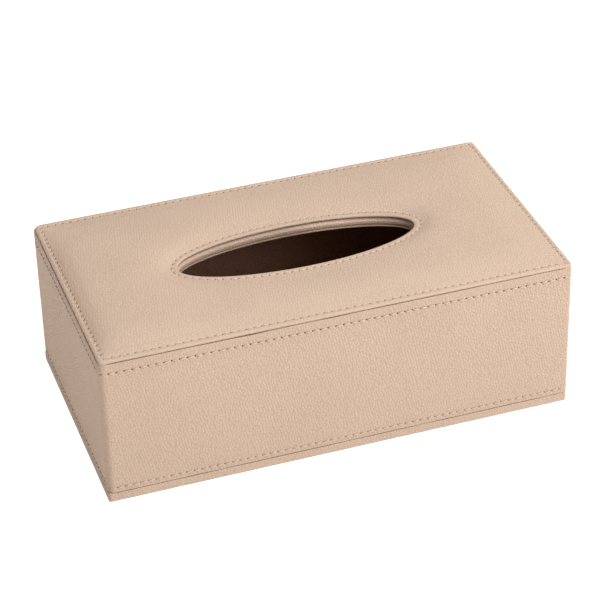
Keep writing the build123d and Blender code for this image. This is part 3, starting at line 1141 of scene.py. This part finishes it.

# %% [markdown]
# ## The binding inside the opening
# A strip of the same leatherette lines the wall of the oval hole, so it looks like a soft roll under the
# lip. Its colour is lighter than the leather's, as painted light. Its shape follows a rule, one profile
# swept along an ellipse, so Geometry Nodes make it: a circle scaled to the ellipse, and Curve to Mesh with
# a profile drawn as a small closed curve.

# %% Sweep the binding
def binding_profile():
    """(outwards, height) pairs of the binding, down its soft face and up its back."""
    height = binding_high.z - binding_low.z
    face = [(1.7, 0), (1.2, 0.2), (0.75, 0.6), (0.38, 1.1), (0.12, 1.6), (0, 2.1), (0.03, 2.6), (0.12, 3.2)]
    face += [(0.26, 3.8), (0.46, 4.3), (0.82, 4.62)]
    bead = [(0.76, 4.8), (0.64, 5.05), (0.6, 5.3), (0.62, 5.6), (0.72, 5.85), (0.98, 6.0)]
    back_side = [(1.2, 6.0), (1.2, 1.2), (4.4, 1.2), (4.4, 0)]
    scale = height / (6.0 * MM)
    return [(out * MM, binding_high.z - drop * MM * scale) for out, drop in face + bead + back_side]


def profile_curve(name, pairs):
    data = bpy.data.curves.new(name, "CURVE")
    data.dimensions = "2D"
    line = data.splines.new("POLY")
    line.points.add(len(pairs) - 1)
    for point, (across, height) in zip(line.points, pairs):
        point.co = (across, -height, 0, 1)
    line.use_cyclic_u = True
    return new_object(name, data)


def binding_tree():
    sizes = {"Half length": "Float", "Half width": "Float", "Segments": "Int"}
    tree, given, result = new_tree(
        "sweep_round_opening", {"Profile": "Object", **sizes, "Material": "Material"}
    )
    circle = add(tree, "GeometryNodeCurvePrimitiveCircle", {"Resolution": given["Segments"], "Radius": 1.0})
    size = combine(tree, X=given["Half length"], Y=given["Half width"], Z=1.0)
    oval = add(tree, "GeometryNodeTransform", {"Geometry": circle.outputs[0], "Scale": size}).outputs[0]
    level = add(tree, "GeometryNodeSetCurveNormal", {"Curve": oval}, mode="Z_UP").outputs[0]
    profile = add(tree, "GeometryNodeObjectInfo", {"Object": given["Profile"]}).outputs["Geometry"]
    swept = add(tree, "GeometryNodeCurveToMesh", {"Curve": level, "Profile Curve": profile}).outputs[0]
    finish_tree(tree, swept, given["Material"], result)
    return tree


profile = profile_curve("binding_profile", binding_profile())
binding = new_object("opening_roll", bpy.data.meshes.new("opening_roll"))
sweep = binding.modifiers.new("sweep", "NODES")
sweep.node_group = binding_tree()
give(
    sweep,
    profile=profile,
    half_length=opening_half_length,
    half_width=opening_half_width,
    segments=320,
    material=binding_leather_painted_light,
)
bake(binding)
bpy.data.objects.remove(profile)
binding_points = points_of(binding)
binding_drop = (binding_high.z - binding_points[:, 2]) / MM
binding_right = clamp(binding_points[:, 0] / (30 * MM))
# Painted shade on the binding: under the lip, less so on the right, along the crease above the bead, and on
# the bead. Painted light lightens its right half, and the rest is a little darker.
at_top = (0.7 - 0.45 * binding_right) * clamp(1 - binding_drop / 0.45)
at_crease = 0.7 * clamp(1 - np.abs(binding_drop - 4.58) / 0.3)
on_bead = (0.28 - 0.1 * binding_right) * (binding_drop > 4.7)
mark_points(binding, "groove", np.maximum(np.maximum(at_top, at_crease), on_bead))
mark_points(binding, "paled", 0.5 * binding_right - 0.05)
mark_points(binding, "pressed_edge", np.full(len(binding_drop), 0.3))
print("binding from", (binding_points.min(0) / MM).round(1), "to", (binding_points.max(0) / MM).round(1))

# %% [markdown]
# ## The base plate
# The base plate is a thin board wrapped in leatherette. Its skin covers the underside, rolls up over the
# edges and turns in on the upper face, where it is mitred at the corners. It has no stitches, and its edge
# ripples a little.

# %% Sweep the base skin
base_turn_in = 14 * MM
base_around = base_outline.at_height(0, 0)
base_roll = (0.5 + drifting(base_around, 8 * MM, 0.15, 4)) * MM
base_section = [(base_turn_in, base_low.z), (7 * MM, base_low.z), (2 * MM, base_low.z)]
base_section += rounded(base_roll, base_low.z + base_roll, base_roll, -90, 0, 6)
base_section += [(0, height) for height in np.linspace(1.2 * MM, base_top - 1.2 * MM, 4)]
base_section += rounded(base_roll, lower_seam - 0.05 * MM - base_roll, base_roll, 0, 90, 7)
base_section += [(2 * MM, base_top), (7 * MM, base_top), (base_turn_in - 0.3 * MM, base_top)]
base_section += [(base_turn_in, base_top - 0.3 * MM), (base_turn_in, base_top - skin)]
base_section += [(skin, base_top - skin), (skin, base_low.z + skin), (base_turn_in, base_low.z + skin)]

base_rings = [base_outline.at_height(inset, height) for inset, height in base_section]
base_faces = tube_faces(len(base_rings), base_outline.count, closed=False).tolist()
first_ring = list(range(base_outline.count))
last_ring = [index + (len(base_rings) - 1) * base_outline.count for index in first_ring]
base_caps = [first_ring[::-1], last_ring]
base_points = np.array(base_rings)
base_skin = new_piece("base_skin", base_points, base_faces + base_caps, leather)

on_corner = np.arange(base_outline.count) == 0
for corner in range(1, 4):
    on_corner |= np.abs(base_outline.travel - corner * travel_per_side) < 0.01
on_turn_in = (base_points[..., 2] > base_top - 0.01 * MM) & on_corner
# Painted shade: the seam over the base plate is darkened, its left end is darkened, and the mitred corners
# of the turn-in get half as much as painted shade in their joints.
base_off_corner = clamp(base_outline.from_corner() / (6 * MM))
base_dark = base_off_corner * painted_foot_seam_shade(base_around)
below_top = lower_seam - 0.05 * MM - base_points[..., 2]
on_edge = np.arange(len(base_rings))[:, None] < len(base_rings) - 8
base_groove = base_dark * clamp(1 - np.abs(below_top) / (0.35 * MM)) * on_edge
painted_base_left_shade = 0.2 * base_outline.facing(-1) * on_edge
mark_points(base_skin, "groove", np.maximum(np.maximum(base_groove, painted_base_left_shade), 0.5 * on_turn_in))
print("base skin:", len(base_skin.data.polygons), "faces")

# %% [markdown]
# ## The stitches
# Each stitch is a short length of twisted thread that arches out of one hole and dives into the next. The
# tree below bends one such arch from a Bezier segment, sweeps a circle along it, and puts a copy on every
# edge of a stitch row, turned to lie along the edge and to stand on the skin. A fixed seed tilts each copy
# a little.

# %% Build the stitching tree
def stitching_tree():
    tree, given, result = new_tree(
        "stitch_along_row",
        {
            "Stitch length": "Float",
            "Thread radius": "Float",
            "Rise": "Float",
            "Sink": "Float",
            "Slant": "Float",
            "Tilt": "Float",
            "Seed": "Int",
            "Material": "Material",
        },
    )
    half = times(tree, given["Stitch length"], 0.38)
    behind = times(tree, half, -1.0)
    ahead = times(tree, half, 0.3)
    below = times(tree, given["Sink"], -1.0)
    above = times(tree, given["Rise"], 4.0)
    arch = add(
        tree,
        "GeometryNodeCurvePrimitiveBezierSegment",
        {
            "Resolution": 9,
            "Start": combine(tree, X=behind, Z=below),
            "Start Handle": combine(tree, X=behind, Z=above),
            "End Handle": combine(tree, X=ahead, Z=given["Rise"]),
            "End": combine(tree, X=half, Z=below),
        },
    ).outputs[0]
    ring = add(
        tree, "GeometryNodeCurvePrimitiveCircle", {"Resolution": 7, "Radius": given["Thread radius"]}
    ).outputs[0]
    travel = add(tree, "GeometryNodeSplineParameter").outputs["Factor"]
    wound = []
    for curve in (arch, ring):
        capture = add(tree, "GeometryNodeCaptureAttribute", domain="POINT")
        capture.capture_items.new("FLOAT", "travel")
        tree.links.new(curve, capture.inputs["Geometry"])
        tree.links.new(travel, capture.inputs["travel"])
        wound.append(capture.outputs)
    swept = add(
        tree,
        "GeometryNodeCurveToMesh",
        {"Curve": wound[0]["Geometry"], "Profile Curve": wound[1]["Geometry"], "Fill Caps": True},
    ).outputs[0]
    turns = times(tree, wound[0]["travel"], 7.0)
    stitch = store(tree, swept, "ply", plus(tree, turns, wound[1]["travel"], 3.0))

    ends = add(tree, "GeometryNodeInputMeshEdgeVertices").outputs
    along = vectors(tree, "SUBTRACT", {0: ends["Position 2"], 1: ends["Position 1"]})
    out = add(tree, "GeometryNodeInputNamedAttribute", {"Name": "up"}, data_type="FLOAT_VECTOR").outputs[0]
    capture = add(tree, "GeometryNodeCaptureAttribute", {"Geometry": given["Geometry"]}, domain="EDGE")
    for label, field in (("along", along), ("out", out)):
        capture.capture_items.new("VECTOR", label)
        tree.links.new(field, capture.inputs[label])
    points = add(
        tree, "GeometryNodeMeshToPoints", {"Mesh": capture.outputs["Geometry"]}, mode="EDGES"
    ).outputs[0]
    facing = add(
        tree,
        "FunctionNodeAxesToRotation",
        {"Primary Axis": capture.outputs["along"], "Secondary Axis": capture.outputs["out"]},
        primary_axis="X",
        secondary_axis="Z",
    ).outputs[0]
    tilts = {2: times(tree, given["Tilt"], -1.0), 3: given["Tilt"], "Seed": given["Seed"]}
    wobble = add(tree, "FunctionNodeRandomValue", tilts, data_type="FLOAT").outputs[1]
    turn = combine(tree, Z=calculate(tree, "ADD", wobble, given["Slant"]))
    tilt = add(tree, "FunctionNodeEulerToRotation", {"Euler": turn}).outputs[0]
    tilted = add(
        tree, "FunctionNodeRotateRotation", {"Rotation": facing, "Rotate By": tilt}, rotation_space="LOCAL"
    ).outputs[0]
    length = vectors(tree, "LENGTH", {0: capture.outputs["along"]})
    fit = combine(tree, X=calculate(tree, "DIVIDE", length, given["Stitch length"]), Y=1.0, Z=1.0)
    placed = {"Points": points, "Instance": stitch, "Rotation": tilted, "Scale": fit}
    copies = add(tree, "GeometryNodeInstanceOnPoints", placed).outputs[0]
    finish_tree(tree, copies, given["Material"], result)
    return tree


stitch_tree = stitching_tree()
print("tree", stitch_tree.name, "with", len(stitch_tree.nodes), "nodes")

# %% [markdown]
# A row is sewn by giving the tree a copy of it and baking what comes out. The lower row's stitches slant
# more.

# %% Sew the four rows
def sew(name, row, seed, slant=6):
    """Lays a thread on every edge of a stitch row, as a piece of its own."""
    piece = new_object(name, row.data.copy())
    modifier = piece.modifiers.new("stitches", "NODES")
    modifier.node_group = stitch_tree
    give(
        modifier,
        stitch_length=stitch_length,
        thread_radius=0.3 * MM,
        rise=0.16 * MM,
        sink=0.6 * MM,
        slant=math.radians(slant),
        tilt=math.radians(3),
        seed=seed,
        material=thread,
    )
    return bake(piece)


rim_stitches = sew("rim_stitches", sunk_row, 11)
lip_thread = sew("lip_stitches", lip_row, 12)
upper_stitches = sew("upper_wall_stitches", upper_row, 13)
lower_stitches = sew("lower_wall_stitches", lower_row, 14, slant=11)
sewn = (rim_stitches, lip_thread, upper_stitches, lower_stitches)
print("faces of stitches:", [len(piece.data.polygons) for piece in sewn])

# %% [markdown]
# ## The hinge strip
# A strip of leatherette is glued to the back edge of the base plate and sewn to the rear wall by the lower
# stitch row, and bends at a crease between them. It is a thin closed loop of rows, pressed in at the crease
# and along the stitches.

# %% Build the hinge strip
crease_height = (base_top + wall_bottom) / 2
strip_columns = np.linspace(strip_low.x, strip_high.x, 469)


def strip_section():
    """(y, z) pairs round the strip, up its outer face and down its inner one."""
    edge = 0.5 * MM
    heights = np.concatenate((
        np.linspace(strip_low.z + edge, crease_height - 1.2 * MM, 5),
        np.linspace(crease_height - 1.0 * MM, crease_height + 1.0 * MM, 21),
        np.linspace(crease_height + 1.2 * MM, strip_high.z - edge, 12),
    ))
    dip = 0.4 * MM * np.exp(-(((heights - crease_height) / (0.35 * MM)) ** 2))
    face = strip_high.y + strip_proud
    outer = list(zip(face - dip, heights))
    turns = np.radians((30, 60, 90, 120, 150))
    middle = (strip_low.y + face) / 2
    thick = (face - strip_low.y) / 2
    across = thick * np.cos(turns)
    rise = edge * np.sin(turns)
    over = list(zip(middle + across, strip_high.z - edge + rise))
    inner = [(strip_low.y, height) for height in heights[::-1]]
    under = list(zip(middle - across, strip_low.z + edge - rise))
    return np.array(outer + over + inner + under)


section = strip_section()
strip_points = np.array([[(x, y, z) for x in strip_columns] for y, z in section])
rows, columns = strip_points.shape[:2]
index = np.arange(rows * columns).reshape(rows, columns)
following = np.roll(index, -1, axis=0)
strip_quads = np.stack((index[:, :-1], following[:, :-1], following[:, 1:], index[:, 1:]), axis=-1)
strip_faces = strip_quads.reshape(-1, 4).tolist() + [index[:, 0].tolist()[::-1], index[:, -1].tolist()]
strip = new_piece("hinge_leather", strip_points, strip_faces, leather)
press(strip, (lower_row, filled_holes))
print("hinge strip:", len(strip.data.polygons), "faces")

# %% [markdown]
# ## The lining
# A dark flocked cloth covers the inside of the walls, the underside of the top and the upper face of the
# base plate. Each is a thin closed sheet, swept or laid flat, with its edges a little rounded.

# %% Make the three linings
lining_thickness = 0.8 * MM


def wall_lining_section():
    inset = half_length - wall_lining_high.x
    edge = lining_thickness / 2
    heights = np.linspace(wall_lining_low.z + edge, wall_lining_high.z - edge, 14)
    section = [(inset, height) for height in heights]
    section += rounded(inset + edge, heights[-1], edge, 45, 135, 3)
    section += [(inset + lining_thickness, height) for height in heights[::-1]]
    section += rounded(inset + edge, heights[0], edge, 225, 315, 3)
    return section


wall_cloth = swept_skin("wall_flock", lining_outline, wall_lining_section(), lining)


def top_lining_rings():
    """Rings of the top's lining, over its upper face inwards and back along its underside."""
    inset = half_length - top_lining_high.x
    rim = lining_outline.ring(inset)
    hole = ellipse(oval_angles(rim), skin)
    steps = np.linspace(0, 1, 8)[:, None, None]
    upper = rim * (1 - steps) + hole * steps
    for height, plans in ((top_lining_high.z, upper), (top_lining_low.z, upper[::-1])):
        for plan in plans:
            yield np.column_stack((plan, np.full(lining_outline.count, height)))


top_rings_of_cloth = np.array(list(top_lining_rings()))
top_cloth_faces = tube_faces(len(top_rings_of_cloth), lining_outline.count)
top_cloth = new_piece("top_flock", top_rings_of_cloth, top_cloth_faces, lining)


def flat_cloth(name, low, high, material, spacing=5 * MM, edge=0.3 * MM):
    """A thin flat sheet with eased edges, as a closed grid."""
    inner_x = np.arange(low.x + spacing, high.x - spacing / 2, spacing)
    inner_y = np.arange(low.y + spacing, high.y - spacing / 2, spacing)
    xs = np.concatenate(([low.x, low.x + edge], inner_x, [high.x - edge, high.x]))
    ys = np.concatenate(([low.y, low.y + edge], inner_y, [high.y - edge, high.y]))
    grid = np.array([[(x, y) for x in xs] for y in ys])
    x, y = grid[..., 0], grid[..., 1]
    border = (x <= low.x) | (x >= high.x) | (y <= low.y) | (y >= high.y)
    upper = np.concatenate((grid, np.where(border, high.z - edge, high.z)[..., None]), axis=-1)
    lower = np.concatenate((grid, np.full(border.shape, low.z)[..., None]), axis=-1)
    index = np.arange(border.size).reshape(border.shape)
    quads = np.stack((index[:-1, :-1], index[:-1, 1:], index[1:, 1:], index[1:, :-1]), axis=-1)
    quads = quads.reshape(-1, 4)
    rim = np.concatenate((index[0, :-1], index[:-1, -1], index[-1, :0:-1], index[:0:-1, 0]))
    after = np.roll(rim, -1)
    sides = np.stack((rim, rim + border.size, after + border.size, after), axis=-1)
    faces = quads.tolist() + (quads[:, ::-1] + border.size).tolist() + sides[:, ::-1].tolist()
    points = np.concatenate((upper.reshape(-1, 3), lower.reshape(-1, 3)))
    return new_piece(name, points, faces, material)


base_cloth = flat_cloth("base_flock", base_lining_low, base_lining_high, lining)
print("linings:", [len(piece.data.polygons) for piece in (wall_cloth, top_cloth, base_cloth)], "faces")

# %% [markdown]
# ## Floor and light
# The product stands on a white sweep that is lit from below, as a light table is, so no shadow shows on it.
# The sweep glows a little less near the box, as painted shade of the box on it, and more away from it. One
# soft key light hangs above to the right and slightly in front. A low light rakes the front wall from the
# right, which brings out its grain, a weak one shines into the opening, and the pale world fills in the
# rest.

# %% Set up the floor and the lights
def light_table():
    material, tree, shader, place = new_material("light_table")
    distance = vectors(tree, "LENGTH", {0: place})
    feed(tree, shader, {
        # The glow is weaker near the box, as painted shade, and stronger farther out.
        "Emission Strength": ramp(tree, distance, 0.12, 0.6, 1.08, 1.42),
        "Emission Color": (1, 0.95, 0.92, 1),
        "Base Color": (0.2, 0.2, 0.2, 1),
        "Roughness": 0.9,
        "Specular IOR Level": 0,
    })
    return material


floor_half = 20
floor_height = -0.2 * MM
floor_points = [(x * floor_half, y * floor_half, floor_height) for x, y in corners]
floor = new_piece("floor", np.array(floor_points), [(0, 1, 2, 3)], light_table())


def softbox(name, place, size, power):
    """A square area light that looks at the middle of the box."""
    data = bpy.data.lights.new(name, "AREA")
    data.size = size
    data.energy = power
    aim = (look_at - Vector(place)).to_track_quat("-Z", "Y")
    light = new_object(name, data)
    light.matrix_world = Matrix.Translation(place) @ aim.to_matrix().to_4x4()


softbox("key_light", (0.45, -0.45, 2.0), 1.4, 42.6)
softbox("side_light", (1.05, -0.62, 0.4), 0.5, 6.2)
softbox("slot_light", (0.8, -1.2, 0.95), 0.5, 5.2)
world = bpy.data.worlds.new("pale_studio")
world.use_nodes = True
sky = world.node_tree.nodes["Background"]
sky.inputs["Color"].default_value = (1.0, 0.97, 0.94, 1)
sky.inputs["Strength"].default_value = 0.22
bpy.context.scene.world = world
bpy.context.scene.view_settings.view_transform = "Standard"
print("light and floor ready")

# %% [markdown]
# ## Tie the pieces to their bodies
# Each piece says which solid it stands for, which body it moves with and which finish of the record it has.
# The hinge strip's solid is hidden too, and the strip itself is tied to neither body.

# %% Ride and replace
for row in stitch_rows:
    bpy.data.objects.remove(row)

pieces = (
    (top_skin, "cover", "top_leather", "leather"),
    (wall_skin, "cover", "wall_leather", "leather"),
    (binding, "cover", "opening_binding", "leather"),
    (base_skin, "base", "base_leather", "leather"),
    (rim_stitches, "cover", "top_edge_thread", "thread"),
    (lip_thread, "cover", "opening_thread", "thread"),
    (upper_stitches, "cover", "wall_top_thread", "thread"),
    (lower_stitches, "cover", "wall_bottom_thread", "thread"),
    (wall_cloth, "cover", "wall_lining", "lining"),
    (top_cloth, "cover", "top_lining", "lining"),
    (base_cloth, "base", "base_lining", "lining"),
)
for piece, body, node_name, slot_name in pieces:
    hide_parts(node_name)
    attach(piece, body)
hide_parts("hinge_strip")
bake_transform(strip)

print(len(pieces) + 1, "pieces tied")
